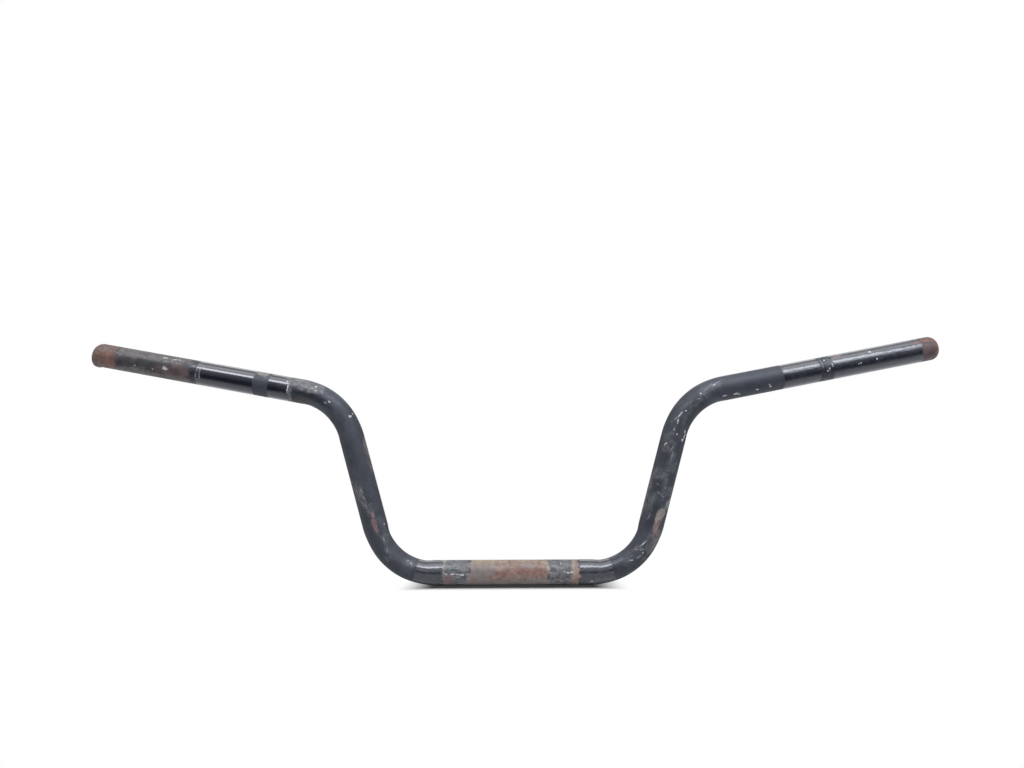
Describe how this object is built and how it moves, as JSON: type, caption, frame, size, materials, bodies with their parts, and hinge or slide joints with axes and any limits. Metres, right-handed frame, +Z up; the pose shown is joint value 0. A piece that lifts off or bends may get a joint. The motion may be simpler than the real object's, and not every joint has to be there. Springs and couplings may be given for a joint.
{
  "type": "quad bike handlebar",
  "caption": "Bent tube handlebar with a straight clamp section, raised sides and swept-back grip ends with turned-in tips.",
  "frame": {"origin": "middle of the straight clamp section, on the centre line of the tube", "axes": "+X along the clamp section towards the rider's left grip when +Y is rearward, +Y to the rear, the way the grips sweep back, +Z up in the plane of the two risers"},
  "size_m": [0.7988, 0.0595, 0.2242],
  "materials": {
    "painted_tube": "satin black paint, worn, scratched and rusted through at the clamp section and the tips"
  },
  "bodies": {
    "root": {"handlebar": "painted_tube"}
  },
  "joints": []
}
